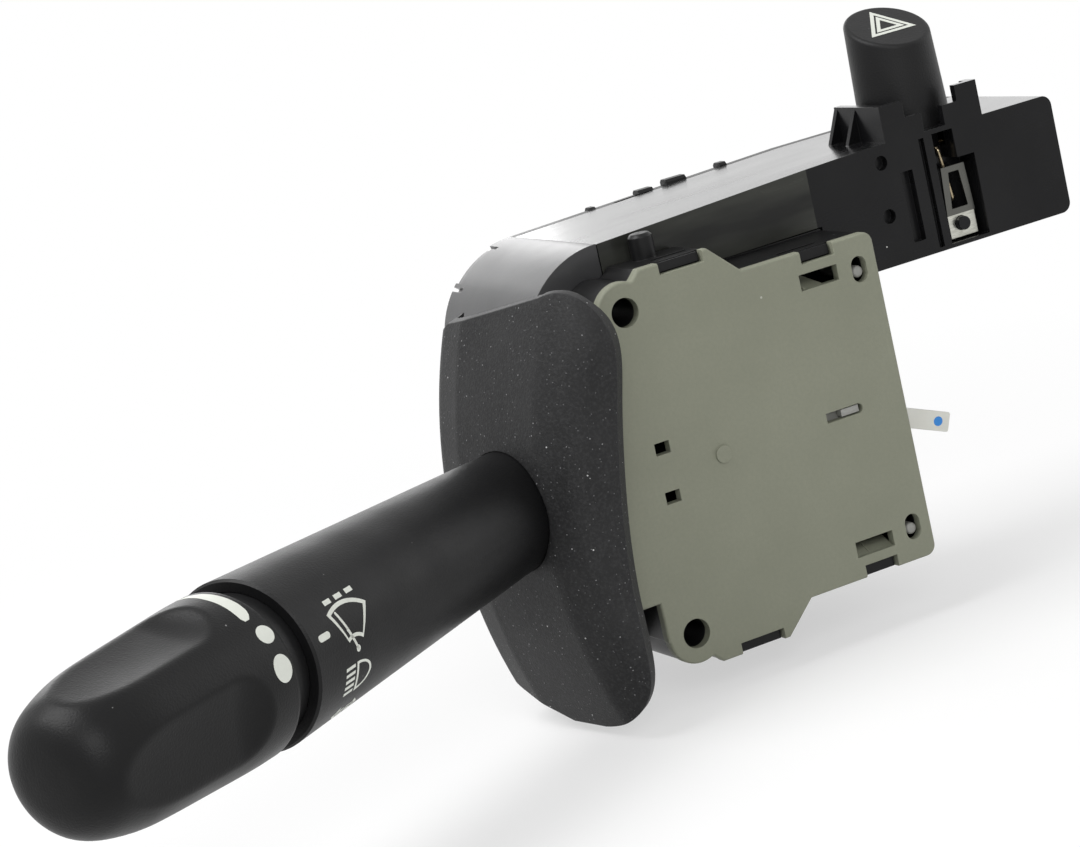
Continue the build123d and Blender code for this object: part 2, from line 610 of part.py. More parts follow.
def shield_outline():
    """Outline of the shield seen square on from the lever side, across and up."""
    edge = Spline(
        (-9.5, 37.5), (-5.5, 38.0), (-1.6, 36.5), (1.6, 31.8), (2.3, 26.5), (1.3, 19.0), (-0.4, 8.0),
        (-1.9, -5.5), (-2.5, -18.5), (-2.6, -28.0), (-3.6, -33.3), (-6.4, -36.9), (-10.6, -39.4),
        (-15.4, -40.6))
    rest = Polyline(
        (-15.4, -40.6), (-23, -40.4), (-34, -35.5), (-46, -29), (-46, 0), (-40, 20), (-37.8, 27.5),
        (-35.6, 31.3), (-33, 33), (-9.5, 37.5))
    return make_face([edge, rest])


def lever_shield():
    """Curved shroud on the lever: a plan section swept about an axis along Y, cut to outline."""
    section = FilletPolyline(
        (-26.2, 29.7), (-29.7, 25.0), (-30.0, 16.8), (-25.6, -5.6), (-21.3, -11.5), (-6.0, -12.0),
        radius=5.0)
    wall = trace(section, SHIELD_T)
    axis_x, axis_z = SHIELD_AXIS
    axis = Axis((axis_x, 0, axis_z), (0, 1, 0))
    start = (Pos(0, 0, axis_z) * wall).rotate(axis, -SHIELD_SWEEP / 2)
    shell = revolve(start, axis, SHIELD_SWEEP)
    view = Plane(origin=(0, 0, 0), x_dir=(1, -1, 0), z_dir=(-1, -1, 0))
    shell &= extrude(view * shield_outline(), amount=80, both=True)
    gap = 0.05
    bore = turned([(0, 30), (stalk_radius(30) + gap, 30), (stalk_radius(80) + gap, 80), (0, 80)])
    return shell - LEVER * bore


def knob_bearing():
    """Dark bearing cup between stalk and knob, pressed into the end of the stalk."""
    s1 = STALK_S[1]
    inner = STALK_WALL + 0.05
    cup = turned([
        (ROD_R + RUN, s1 - 8.6), (stalk_radius(s1 - 8.6) - inner, s1 - 8.6),
        (stalk_radius(s1) - inner - 0.1, s1), (12.3, s1 + 0.2), (12.3, s1 + 7.2),
        (CUP_BORE, s1 + 7.2), (CUP_BORE, s1 - 4.6), (ROD_R + RUN, s1 - 4.6)])
    return LEVER * cup


def wiper_contact_disc():
    """Fixed contact disc on the floor of the bearing cup."""
    floor = STALK_S[1] - 4.6
    outer = CUP_BORE - 0.05
    return LEVER * turned([(6.4, floor), (outer, floor), (outer, floor + 1.2), (6.4, floor + 1.2)])


def washer_rod():
    """Rod that carries the knob and slides in the lever with it."""
    flange = STALK_S[1] + 3.4
    rod = turned([
        (0, 84), (ROD_R, 84), (ROD_R, flange), (6.0, flange), (6.0, flange + 2), (ROD_R, flange + 2),
        (ROD_R, KNOB_SEAT), (0, KNOB_SEAT)])
    return LEVER * rod


def wiper_rotor():
    """Contact rotor on the hub of the knob, running over the contact disc."""
    s1 = STALK_S[1]
    sleeve = turned([
        (7.0, s1), (8.9, s1), (8.9, s1 + 8.2), (ROD_R + 0.08, s1 + 8.2), (ROD_R + 0.08, s1 + 5.6),
        (7.0, s1 + 5.6)])
    return LEVER * sleeve


def end_knob():
    """Rotary knob: shell with a rounded end, a hub and three long scooped flutes."""
    base = STALK_S[1] + KNOB_GAP
    skin = Spline(*KNOB_PROFILE, tangents=((0, 1), (-1, 0)))
    body = revolve(Plane.XZ * make_face([
        Line((0, base), (KNOB_R, base)), Line((KNOB_R, base), KNOB_PROFILE[0]), skin,
        Line(KNOB_PROFILE[-1], (0, base))]), Axis.Z)
    room = KNOB_R - KNOB_WALL
    end = KNOB_PROFILE[-1][1] - 9.0
    body -= turned([(0, base), (room, base), (room, base + 6), (room - 3.0, base + 8.4),
                    (room - 3.6, end - 6), (room - 7.0, end), (0, end)])
    hub_base = STALK_S[1] + 8.2
    body += turned([(ROD_R + 0.08, hub_base), (6, hub_base), (6, end + 1), (0, end + 1),
                    (0, KNOB_SEAT + FIT), (ROD_R + 0.08, KNOB_SEAT + FIT)])
    cutter = Cylinder(FLUTE_R, 60, align=(Align.CENTER, Align.CENTER, Align.MIN))
    cutter = fillet(cutter.faces().sort_by(Axis.Z)[0].edges(), FLUTE_ROUND)
    for index in range(FLUTES):
        turn = Rot(0, 0, FLUTE_START + index * 360 / FLUTES)
        body -= turn * Pos(FLUTE_FLOOR + FLUTE_R + 0.3, 0, FLUTE_FROM) * Rot(0, -FLUTE_LEAN, 0) * cutter
    return LEVER * body


def dimmer_slider():
    """Slider on the shelf of the carrier, driven by the pin of the lever's tail."""
    top = LEVER_Z + EYE_H / 2 + FIT + 1.2
    body = block(TAIL_X - 2.2, TAIL_X + 2.2, LEVER_Y - 3.5, LEVER_Y + 3.5, top + 0.1, top + 2.2)
    body = fillet(body.edges().filter_by(Axis.Z), 0.6)
    slot = Pos(TAIL_X, LEVER_Y) * SlotOverall(3.4, 2.7)
    return body - Pos(0, 0, top) * extrude(slot, amount=1.5)


# Hazard switch

RECESS = (77.2, 85.8, 20.6, 36.2, 20.6)
GUIDE = (24.0, 32.5)
FRAME_Y = 17.2
FRAME_T = 0.5
PAD = (78.3, 84.4, 21.0, 25.2)
STUD = (81.3, 23.6, 1.3)
CLIPS = ((31.3, 3.2, 0.6), (37.5, 4.4, 0.9), (49.5, 1.6, 0.7), (20.6, 1.2, 0.4))


def above_slope(drop):
    """Half space above the sloped top of the button, lowered by a drop."""
    x, y = BUTTON
    tilt = Pos(x, y, BUTTON_TOP - drop) * Rot(BUTTON_SLOPE, 0, 0)
    return tilt * Box(60, 60, 40, align=(Align.CENTER, Align.CENTER, Align.MIN))


def button_cone(shrink, foot):
    """Drafted cone of the button or of its hollow."""
    high = BUTTON_TOP + 6
    low_r = BUTTON_R + (BUTTON_TOP - foot) * BUTTON_DRAFT - shrink
    high_r = BUTTON_R - (high - BUTTON_TOP) * BUTTON_DRAFT - shrink
    x, y = BUTTON
    return Pos(x, y, 0) * turned([(0, foot), (low_r, foot), (high_r, high), (0, high)])


def hazard_button():
    """Hollow drafted push button whose top slopes towards the driver."""
    cap = button_cone(0, BUTTON_FOOT) - above_slope(0)
    rim = cap.faces().sort_by(Axis.Z)[-1].edges()
    cap = fillet(rim, 0.9)
    return cap - (button_cone(BUTTON_WALL, BUTTON_FOOT - 1) - above_slope(2.0))


def hazard_plunger():
    """Square plunger under the sloped top, with a cam groove on its front."""
    x, y = BUTTON
    half = PLUNGER_W / 2
    stem = block(x - half, x + half, y - half, y + half, 31.0, BUTTON_TOP + 6) - above_slope(2.0)
    cam = Pos(x + 1.7, 39) * SlotOverall(9, 1.6, rotation=90)
    return stem - slab(cam, y - half - 1, y - half + 1.0)


def hazard_bridge():
    """Copper bridge on the side of the plunger."""
    x, y = BUTTON
    side = x + PLUNGER_W / 2
    return block(side, side + 0.5, y - 3, y + 3, 38, 43) + block(side, side + 2.4, y - 3, y + 3, 38, 38.5)


def hazard_terminals():
    """Two fixed blades beside the plunger, standing on the floor of the box."""
    x, y = BUTTON
    side = x + PLUNGER_W / 2 + 2.7
    blades = []
    for offset_y in (-2.2, 2.2):
        blades.append(block(side, side + 0.6, y + offset_y - 1, y + offset_y + 1, BOX_BOTTOM + WALL, 37.5))
    return Compound(children=blades)


def hazard_contact_spring():
    """Pressed spring: a tapered frame above a tab that sits on the stud of the box."""
    frame = make_face(Polyline((79.1, 34.7), (84.4, 34.7), (84.9, 25.4), (78.5, 25.4), close=True))
    window = make_face(Polyline((80.6, 33.5), (82.9, 33.5), (83.5, 26.6), (79.9, 26.6), close=True))
    tab = rect(78.5, 84.6, PAD[2], 25.4)
    shape = frame + tab - window - Pos(STUD[0], STUD[1]) * Circle(STUD[2] + 0.1)
    return slab(shape, FRAME_Y, FRAME_Y + FRAME_T)


def hazard_latch_wire():
    """Bent wire behind the frame whose ends sit in the housing."""
    path = FilletPolyline(
        (80.3, RECESS[4], 38.6), (80.3, 18.9, 38.6), (81.5, 18.9, 28.0), (81.5, RECESS[4], 28.0), radius=0.8)
    return sweep(Plane(origin=path @ 0, z_dir=path % 0) * Circle(0.4), path=path)


# Cancel pawl and small pieces

def pawl_holder():
    """Holder that slides in the plate's slot and carries the pawl on a pin."""
    y0 = PLATE_T + FIT
    body = block(34.8, 42.6, y0, PAWL_Y - 0.3, -4, 4)
    body = fillet(body.edges().filter_by(Axis.Y), 1.0)
    body += block(38.2, 41.9, 0.6, y0, -0.65, 0.65)
    return body + post(PAWL_X, 0, PAWL_PIN_R, PAWL_Y - 0.3, FRONT_D - BACK_WALL - FIT)


def cancel_pawl():
    """Flat pawl that reaches out of the right side, drooping on its stop."""
    arm = Pos(PAWL_REACH / 2, 0) * Rectangle(PAWL_REACH, PAWL_W)
    face = fillet(arm.vertices().group_by(Axis.X)[-1], 0.4) + Circle(3.5) - Circle(PAWL_PIN_R + RUN)
    return slab(Pos(PAWL_X, 0) * Rot(0, 0, -PAWL_DROOP) * face, PAWL_Y, PAWL_Y + PAWL_T)


def lock_pins():
    """Two white pins behind the oblong holes of the plate."""
    pins = []
    for side in (1, -1):
        pin = post(OBLONG[0] + 0.3, side * OBLONG[1] - 0.6, 1.1, 1.2, FRONT_D - BACK_WALL)
        pins.append(fillet(pin.faces().sort_by(Axis.Y)[0].edges(), 0.5))
    return Compound(children=pins)


def springs():
    """The five coil springs, each standing between its two seats."""
    x, y = BUTTON
    flash = Plane(origin=(22.0, LEVER_Y + 2.6, 6.4), z_dir=(0, 1, 0))
    detent = Plane(origin=(CARRIER[0] - 3.0, DETENT_Y, 0), z_dir=(1, 0, 0))
    pawl = Plane(origin=(23.5, 4.6, 0), z_dir=(1, 0, 0))
    return {
        "hazard_spring": Pos(x, y, BOX_BOTTOM + WALL) * coil(3.2, 0.4, 31.0 - BOX_BOTTOM - WALL, 5),
        "flash_spring": flash * coil(1.25, 0.25, CARRIER[2] - CARRIER_WALL - LEVER_Y - 2.6, 4),
        "detent_spring": detent * coil(1.7, 0.3, 4.6, 4),
        "washer_spring": LEVER * (Pos(0, 0, STALK_S[1] - 4.6) * coil(4.6, 0.45, 8.0, 4)),
        "pawl_spring": pawl * coil(1.6, 0.3, 34.8 - 23.5, 6),
    }


def all_parts():
    """Every sub-part by its node name."""
    parts = {
        "cover_plate": cover_plate(),
        "front_housing": front_housing(),
        "rear_housing": rear_housing(),
        "end_cover": end_cover(),
        "arm_housing": arm_housing(),
        "arm_back_cover": arm_back_cover(),
        "rear_cover": rear_cover(),
        "connector_socket": connector_socket(),
        "connector_pins": connector_pins(),
        "terminal_board": terminal_board(),
        "fixed_contacts": fixed_contacts(),
        "detent_track": detent_track(),
        "hazard_contact_spring": hazard_contact_spring(),
        "hazard_latch_wire": hazard_latch_wire(),
        "hazard_terminals": hazard_terminals(),
        "lock_pins": lock_pins(),
        "turn_carrier": turn_carrier(),
        "flash_pivot_pin": flash_pivot_pin(),
        "detent_plunger": detent_plunger(),
        "turn_slider": turn_slider(),
        "turn_contacts": turn_contacts(),
        "lever_yoke": lever_yoke(),
        "lever_stalk": lever_stalk(),
        "lever_shield": lever_shield(),
        "knob_bearing": knob_bearing(),
        "wiper_contact_disc": wiper_contact_disc(),
        "dimmer_slider": dimmer_slider(),
        "washer_rod": washer_rod(),
        "end_knob": end_knob(),
        "wiper_rotor": wiper_rotor(),
        "hazard_button": hazard_button(),
        "hazard_plunger": hazard_plunger(),
        "hazard_bridge": hazard_bridge(),
        "pawl_holder": pawl_holder(),
        "cancel_pawl": cancel_pawl(),
    }
    parts.update(springs())
    return parts


for name, shape in all_parts().items():
    export_step(shape, f"parts/{name}.step")
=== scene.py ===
import json
import math

import bpy
from mathutils import Matrix, Vector, geometry


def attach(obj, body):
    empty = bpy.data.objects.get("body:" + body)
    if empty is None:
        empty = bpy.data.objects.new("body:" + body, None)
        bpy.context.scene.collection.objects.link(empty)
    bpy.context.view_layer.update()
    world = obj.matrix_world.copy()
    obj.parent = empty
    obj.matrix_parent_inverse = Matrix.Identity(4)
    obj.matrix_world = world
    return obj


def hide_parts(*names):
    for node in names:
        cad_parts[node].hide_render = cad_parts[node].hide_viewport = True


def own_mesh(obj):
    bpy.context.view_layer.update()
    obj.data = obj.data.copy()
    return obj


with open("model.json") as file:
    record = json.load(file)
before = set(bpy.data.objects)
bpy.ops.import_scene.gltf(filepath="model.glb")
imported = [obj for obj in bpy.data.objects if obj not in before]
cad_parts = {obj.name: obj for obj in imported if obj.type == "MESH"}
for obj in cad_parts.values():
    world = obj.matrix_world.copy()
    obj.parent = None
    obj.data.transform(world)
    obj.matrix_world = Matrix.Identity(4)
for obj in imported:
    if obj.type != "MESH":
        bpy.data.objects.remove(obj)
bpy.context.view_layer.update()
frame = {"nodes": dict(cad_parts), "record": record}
bpy.ops.object.select_all(action="DESELECT")
MM = 0.001

# Camera solved from the photograph
CAM_POS = Vector((-0.24382, -0.50837, 0.12860))
CAM_RIGHT = Vector((0.8741, -0.4328, -0.2204))
CAM_AHEAD = Vector((0.3940, 0.8972, -0.1994))
CAM_LENS = 109.2

# Lever as in the part's source: its pivot and directions, the reach, radius and taper of the
# stalk's end, and the knob's radius, in mm
PIVOT = Vector((12.4, 30.0, 1.25)) * MM
LEVER_OUT = Vector((-0.850811, -0.525472, 0.0))
LEVER_BACK = Vector((-0.525472, 0.850811, 0.0))
UP = Vector((0, 0, 1))
STALK_END = (125.6, 14.41, 0.0468)
KNOB_R = 14.1

# Body and material slot of each node
HOME = {}
for body, nodes in frame["record"]["behaviour"]["bodies"].items():
    for name in nodes:
        HOME[name] = body
SLOT = {entry["node"]: entry["material_slot"] for entry in frame["record"]["subparts"]}


def add_camera():
    """Place the camera that matches the photograph."""
    data = bpy.data.cameras.new("camera")
    data.lens = CAM_LENS
    data.sensor_width = 36.0
    data.clip_start = 0.01
    data.clip_end = 20.0
    camera = bpy.data.objects.new("camera", data)
    bpy.context.scene.collection.objects.link(camera)
    right = CAM_RIGHT.normalized()
    back = -CAM_AHEAD.normalized()
    up = back.cross(right).normalized()
    turn = Matrix((right, up, back)).transposed().to_4x4()
    camera.matrix_world = Matrix.Translation(CAM_POS) @ turn
    bpy.context.scene.camera = camera


add_camera()


# Shader helpers

class Field:
    """A shader socket that can be used in Python expressions."""

    def __init__(self, owner, socket):
        self.owner = owner
        self.socket = socket

    def maths(self, operation, other=0.0):
        return self.owner.node("ShaderNodeMath", {"operation": operation}, {0: self, 1: other})

    def __add__(self, other):
        return self.maths("ADD", other)

    def __sub__(self, other):
        return self.maths("SUBTRACT", other)

    def __mul__(self, other):
        return self.maths("MULTIPLY", other)

    def __gt__(self, other):
        return self.maths("GREATER_THAN", other)

    def __lt__(self, other):
        return self.maths("LESS_THAN", other)

    def __abs__(self):
        return self.maths("ABSOLUTE")


class Nodes:
    """A node tree, with the method that adds to it."""

    def __init__(self, tree):
        self.tree = tree

    def node(self, kind, settings, inputs, output=0):
        """Add a node: its settings first, then the value or link of each socket."""
        made = self.tree.nodes.new(kind)
        for name, value in settings.items():
            setattr(made, name, value)
        for name, value in inputs.items():
            if isinstance(value, Field):
                self.tree.links.new(value.socket, made.inputs[name])
            else:
                made.inputs[name].default_value = value
        return Field(self, made.outputs[output])

    def seen_rays(self):
        """One for the rays that look at the background, also by way of gloss or glass."""
        camera, glossy, through = (
            self.node("ShaderNodeLightPath", {}, {}, name)
            for name in ("Is Camera Ray", "Is Glossy Ray", "Is Transmission Ray"))
        return camera.maths("MAXIMUM", glossy).maths("MAXIMUM", through)

    def blend(self, share, shader, other, end):
        """Mix a shader node with another shader and connect them to the end of the tree."""
        mixed = self.node("ShaderNodeMixShader", {}, {
            0: share, 1: Field(self, shader.outputs[0]), 2: other})
        self.tree.links.new(mixed.socket, self.tree.nodes[end].inputs["Surface"])


class Finish(Nodes):
    """A Principled material whose pattern follows the object's own coordinates."""

    def __init__(self, name):
        self.data = bpy.data.materials.new(name)
        self.data.use_nodes = True
        super().__init__(self.data.node_tree)
        self.shader = self.tree.nodes["Principled BSDF"]
        self.place = self.node("ShaderNodeTexCoord", {}, {}, "Object")

    def noise(self, scale, detail=3.0, rough=0.55):
        return self.node("ShaderNodeTexNoise", {}, {
            "Vector": self.place, "Scale": scale, "Detail": detail, "Roughness": rough})

    def streaks(self, scale, stretch):
        """Noise drawn out by a different scale along each axis."""
        drawn = self.node("ShaderNodeMapping", {}, {"Vector": self.place, "Scale": stretch})
        return self.node("ShaderNodeTexNoise", {}, {"Vector": drawn, "Scale": scale, "Detail": 3.0})

    def specks(self, scale, radius, share):
        """Small round specks in a share of the cells."""
        inputs = {"Vector": self.place, "Scale": scale}
        near = self.node("ShaderNodeTexVoronoi", {}, inputs, "Distance")
        tone = self.node("ShaderNodeTexVoronoi", {}, inputs, "Color")
        pick = self.node("ShaderNodeSeparateColor", {}, {"Color": tone})
        return (near < radius) * (pick > 1.0 - share)

    def spread(self, field, low, high, start, end):
        return self.node("ShaderNodeMapRange", {}, {
            "Value": field, "From Min": low, "From Max": high, "To Min": start, "To Max": end})

    def mix(self, share, first, second):
        first = first if isinstance(first, Field) else (*first, 1.0)
        second = second if isinstance(second, Field) else (*second, 1.0)
        return self.node("ShaderNodeMix", {"data_type": "RGBA"}, {0: share, 6: first, 7: second}, 2)

    def along(self, direction, origin):
        """Distance in millimetres from a point along a direction."""
        dot = self.node("ShaderNodeVectorMath", {"operation": "DOT_PRODUCT"}, {
            0: self.place, 1: tuple(direction)}, "Value")
        return (dot - direction.dot(origin)) * 1000.0

    def wire(self, name, field):
        self.tree.links.new(field.socket, self.shader.inputs[name])

    def shine(self, level):
        """Strength of the clear reflection, the same all over the surface."""
        self.shader.inputs["Specular IOR Level"].default_value = level

    def relief(self, height, strength, distance):
        self.wire("Normal", self.node("ShaderNodeBump", {}, {
            "Strength": strength, "Distance": distance, "Height": height}))


# Finishes

# Where the painted reflection on the arm's front ends, along X, and the height of the spring's tab,
# in mm
ARM_REFLECTION_END = 49.5
SPRING_TAB_TOP = 25.4
# Parting line of the stalk: its angle round the lever, half width and reach, in mm
PARTING_ANGLE = 86.0
PARTING_HALF = 0.09
PARTING_START = 47.0
PARTING_END = 122.5
# Part of the object's normal above which a face counts as turned that way
FACES_THAT_WAY = 0.6
RELIEF_DEPTH = 0.00008


def plastic(name, dark, light, rough, grain, depth):
    """Moulded plastic with a slow drift in tone and a fine eroded grain."""
    made = Finish(name)
    tone = made.spread(made.noise(60.0, 4.0), 0.35, 0.65, 0.0, 1.0)
    made.colour = made.mix(tone, dark, light)
    made.gloss = made.spread(made.noise(110.0, 4.0), 0.3, 0.7, rough - 0.03, rough + 0.04)
    made.height = made.noise(grain, 2.0, 0.6)
    made.depth = depth
    return made


def finished(made):
    """Connect the colour, roughness and relief of a plastic."""
    made.wire("Base Color", made.colour)
    made.wire("Roughness", made.gloss)
    made.relief(made.height, made.depth, RELIEF_DEPTH)
    return made


def dusted(made, scale, radius, share, colour):
    """Lay fine dust on a plastic."""
    made.colour = made.mix(made.specks(scale, radius, share), made.colour, colour)
    return made


def plate_finish():
    """Grey-green moulding with a fine even grain."""
    made = plastic("plate_plastic", (0.228, 0.236, 0.180), (0.245, 0.253, 0.194), 0.5, 3200.0, 0.35)
    made.shine(0.25)
    fine = made.spread(made.noise(1500.0, 2.0, 0.7), 0.35, 0.65, 0.0, 1.0)
    made.colour = made.mix(fine * 0.35, made.colour, (0.205, 0.212, 0.163))
    return finished(dusted(made, 260.0, 0.06, 0.05, (0.42, 0.42, 0.37)))


def shield_finish():
    """Grained soft plastic with pale flecks in it."""
    made = plastic("shield_plastic", (0.012, 0.012, 0.0125), (0.020, 0.020, 0.0205),
                   0.55, 2600.0, 1.0)
    made.shine(0.22)
    fine = made.spread(made.noise(1700.0, 2.0, 0.7), 0.45, 0.75, 0.0, 1.0)
    made.colour = made.mix(fine * 0.6, made.colour, (0.040, 0.040, 0.041))
    made = dusted(made, 1100.0, 0.13, 0.6, (0.10, 0.10, 0.103))
    made = dusted(made, 700.0, 0.09, 0.5, (0.22, 0.22, 0.225))
    return finished(dusted(made, 420.0, 0.06, 0.40, (0.50, 0.50, 0.50)))


def stalk_finish():
    """Satin black with the parting line of its mould along the top."""
    made = plastic("stalk_plastic", (0.0035, 0.0035, 0.0038), (0.0065, 0.0065, 0.0068),
                   0.42, 2600.0, 0.6)
    made.shine(0.2)
    lean = math.radians(PARTING_ANGLE)
    across = made.along(UP * math.cos(lean) - LEVER_BACK * math.sin(lean), PIVOT)
    above = made.along(UP * math.sin(lean) + LEVER_BACK * math.cos(lean), PIVOT)
    reach = made.along(LEVER_OUT, PIVOT)
    line = (abs(across) < PARTING_HALF) * (above > 0.0)
    line = line * (reach > PARTING_START) * (reach < PARTING_END)
    made.colour = made.mix(line, made.colour, (0.002, 0.002, 0.002))
    made.height = made.height + line * 2.0
    return finished(dusted(made, 700.0, 0.09, 0.03, (0.12, 0.12, 0.12)))


def black_finish(name, tone, rough, shine, grain=3000.0, depth=0.25, dust=0.02):
    """Black plastic in one of the tones and glosses of the mouldings."""
    made = plastic(name, (tone, tone, tone * 1.05), (tone * 1.5, tone * 1.5, tone * 1.55),
                   rough, grain, depth)
    made.shine(shine)
    return finished(dusted(made, 500.0, 0.08, dust, (0.2, 0.2, 0.2)))


def polished_finish():
    """Arm in glossy black, coated on its top, with a painted reflection of the plate, pale and
    streaked, on its front up to the box.
    """
    made = plastic("arm_plastic", (0.0045, 0.0045, 0.005), (0.0075, 0.0075, 0.008),
                   0.2, 900.0, 0.04)
    made.shine(0.2)
    normal = made.node("ShaderNodeTexCoord", {}, {}, "Normal")
    upward = made.node("ShaderNodeSeparateXYZ", {}, {0: normal}, "Z") > FACES_THAT_WAY
    forward = made.node("ShaderNodeSeparateXYZ", {}, {0: normal}, "Y") < -FACES_THAT_WAY
    # Painted reflection: pale grey-green streaks on the front faces, left of its end along X, stand
    # in for the plate reflected there; the same streaks also vary the gloss
    reflection_side = made.along(Vector((1, 0, 0)), Vector((ARM_REFLECTION_END, 0, 0)) * MM) < 0.0
    flow_and_reflection_streaks = made.streaks(30.0, (1.0, 5.0, 5.0))
    painted_reflection = made.spread(flow_and_reflection_streaks, 0.35, 0.7, 0.2, 0.9) * reflection_side * forward
    made.colour = made.mix(painted_reflection, made.colour, (0.060, 0.062, 0.053))
    made.gloss = made.spread(flow_and_reflection_streaks, 0.3, 0.7, 0.18, 0.30)
    made.wire("Coat Weight", upward)
    made.shader.inputs["Coat Roughness"].default_value = 0.16
    return finished(dusted(made, 300.0, 0.05, 0.10, (0.4, 0.4, 0.38)))


def pale_finish(name, dark, light, rough=0.42):
    """White or tinted plastic, and printing ink."""
    return finished(plastic(name, dark, light, rough, 1600.0, 0.08))


def metal(name, dark, light, rough):
    """Bare metal with drawn working marks, its colour not yet connected."""
    made = Finish(name)
    marks = made.streaks(700.0, (1.0, 1.0, 8.0))
    made.colour = made.mix(made.spread(marks, 0.3, 0.7, 0.0, 1.0), dark, light)
    made.wire("Roughness", made.spread(made.noise(500.0), 0.3, 0.7, rough - 0.06, rough + 0.08))
    made.wire("Metallic", made.spread(made.noise(300.0), 0.0, 1.0, 0.96, 1.0))
    made.relief(marks, 0.12, 0.00005)
    return made


def metal_finish(name, dark, light, rough):
    """Bare metal in the same tones all over."""
    made = metal(name, dark, light, rough)
    made.wire("Base Color", made.colour)
    return made


def pressed_finish():
    """Pressed spring: darker on its frame above the flat tab, lighter on the tab below."""
    made = metal("pressed_spring", (0.42, 0.42, 0.37), (0.62, 0.62, 0.56), 0.3)
    above = made.along(UP, Vector((0, 0, SPRING_TAB_TOP)) * MM) > 0.0
    made.wire("Base Color", made.mix(above, made.colour, (0.115, 0.115, 0.105)))
    return made


def sleek_finish():
    """End cover: greyer black that shines where it curves over."""
    made = plastic("end_cover_plastic", (0.027, 0.027, 0.0285), (0.038, 0.038, 0.040),
                   0.34, 2600.0, 0.25)
    made.shine(0.3)
    made.shader.inputs["Coat Weight"].default_value = 0.5
    made.shader.inputs["Coat Roughness"].default_value = 0.22
    return finished(dusted(made, 500.0, 0.08, 0.03, (0.2, 0.2, 0.2)))


LOOKS = {
    "plate": plate_finish(),
    "housing": black_finish("housing_plastic", 0.006, 0.32, 0.2),
    "shield": shield_finish(),
    "stalk": stalk_finish(),
    "knob": black_finish("knob_plastic", 0.0045, 0.38, 0.17, 2600.0, 0.6, 0.04),
    "button": black_finish("button_plastic", 0.006, 0.45, 0.2, 2600.0, 0.6, 0.03),
    "white_plastic": pale_finish("white_plastic", (0.66, 0.66, 0.60), (0.74, 0.74, 0.69)),
    "inner_plastic": black_finish("inner_plastic", 0.02, 0.45, 0.3),
    "board": pale_finish("board_laminate", (0.12, 0.07, 0.03), (0.16, 0.10, 0.045), 0.5),
    "contact_metal": metal_finish("contact_metal", (0.62, 0.38, 0.18), (0.72, 0.47, 0.25), 0.3),
    "spring_steel": metal_finish("spring_steel", (0.36, 0.35, 0.32), (0.52, 0.51, 0.47), 0.3),
}
ARM = polished_finish()
END = sleek_finish()
CUP = black_finish("bearing_plastic", 0.008, 0.35, 0.2)
# Greyer copy of the white plastic for the pawl holder and lock pins: partly their own greyish tone,
# partly painted shade for the depth at which they sit
SHADED_GREY_WHITE = pale_finish("slider_plastic", (0.30, 0.30, 0.28), (0.38, 0.38, 0.36), 0.5)
INK = pale_finish("white_ink", (0.66, 0.68, 0.62), (0.72, 0.74, 0.68), 0.5)
BLUE = pale_finish("blue_ink", (0.02, 0.20, 0.62), (0.03, 0.26, 0.70), 0.45)
PRESSED = pressed_finish()
WIRE = metal_finish("latch_wire", (0.30, 0.24, 0.15), (0.45, 0.38, 0.26), 0.3)
SPECIAL = {
    "arm_housing": ARM, "end_cover": END, "knob_bearing": CUP, "pawl_holder": SHADED_GREY_WHITE,
    "lock_pins": SHADED_GREY_WHITE, "hazard_contact_spring": PRESSED, "hazard_latch_wire": WIRE,
}


def look_of(node):
    return SPECIAL.get(node, LOOKS[SLOT[node]]).data


for name, obj in frame["nodes"].items():
    obj.data.materials.clear()
    obj.data.materials.append(look_of(name))


# Modelling helpers

# Distance within which doubled corners are merged, in metres
WELD = 0.000002
# Angles: faces that count as one flat face, edges that are rounded, edges that stay sharp
FLAT_ANGLE = math.radians(0.5)
BEVEL_ANGLE = math.radians(38.0)
SHARP_MOULDED = math.radians(35.0)
SHARP_WIRE = math.radians(40.0)
SHARP_KNOB = math.radians(45.0)


def select_only(piece):
    bpy.ops.object.select_all(action="DESELECT")
    piece.select_set(True)
    bpy.context.view_layer.objects.active = piece


def apply_modifier(piece, kind, **settings):
    """Add a modifier with its settings and apply it."""
    select_only(piece)
    made = piece.modifiers.new(kind.lower(), kind)
    for name, value in settings.items():
        setattr(made, name, value)
    bpy.ops.object.modifier_apply(modifier=made.name)


def copied(node):
    """Copy the mesh of a CAD node into a piece that replaces it, with doubled corners merged."""
    piece = bpy.data.objects.new(node + "_piece", frame["nodes"][node].data.copy())
    bpy.context.scene.collection.objects.link(piece)
    select_only(piece)
    if piece.data.has_custom_normals:
        bpy.ops.mesh.customdata_custom_splitnormals_clear()
    bpy.ops.object.mode_set(mode="EDIT")
    bpy.ops.mesh.select_all(action="SELECT")
    bpy.ops.mesh.remove_doubles(threshold=WELD)
    bpy.ops.object.mode_set(mode="OBJECT")
    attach(piece, HOME[node])
    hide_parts(node)
    return piece


def softened(node, width, joined):
    """Stand in for a CAD node with its sharp edges slightly rounded, as a mould leaves them.

    Flat faces are joined first, except on a piece whose rim is too thin for large faces.
    """
    piece = copied(node)
    if joined:
        bpy.ops.object.mode_set(mode="EDIT")
        bpy.ops.mesh.select_all(action="SELECT")
        bpy.ops.mesh.dissolve_limited(angle_limit=FLAT_ANGLE)
        bpy.ops.object.mode_set(mode="OBJECT")
    apply_modifier(piece, "BEVEL", width=width * MM, segments=2, limit_method="ANGLE",
                   angle_limit=BEVEL_ANGLE, use_clamp_overlap=False)
    select_only(piece)
    bpy.ops.object.shade_smooth_by_angle(angle=SHARP_MOULDED)
    apply_modifier(piece, "WEIGHTED_NORMAL", mode="FACE_AREA", weight=80, keep_sharp=True)
    return piece


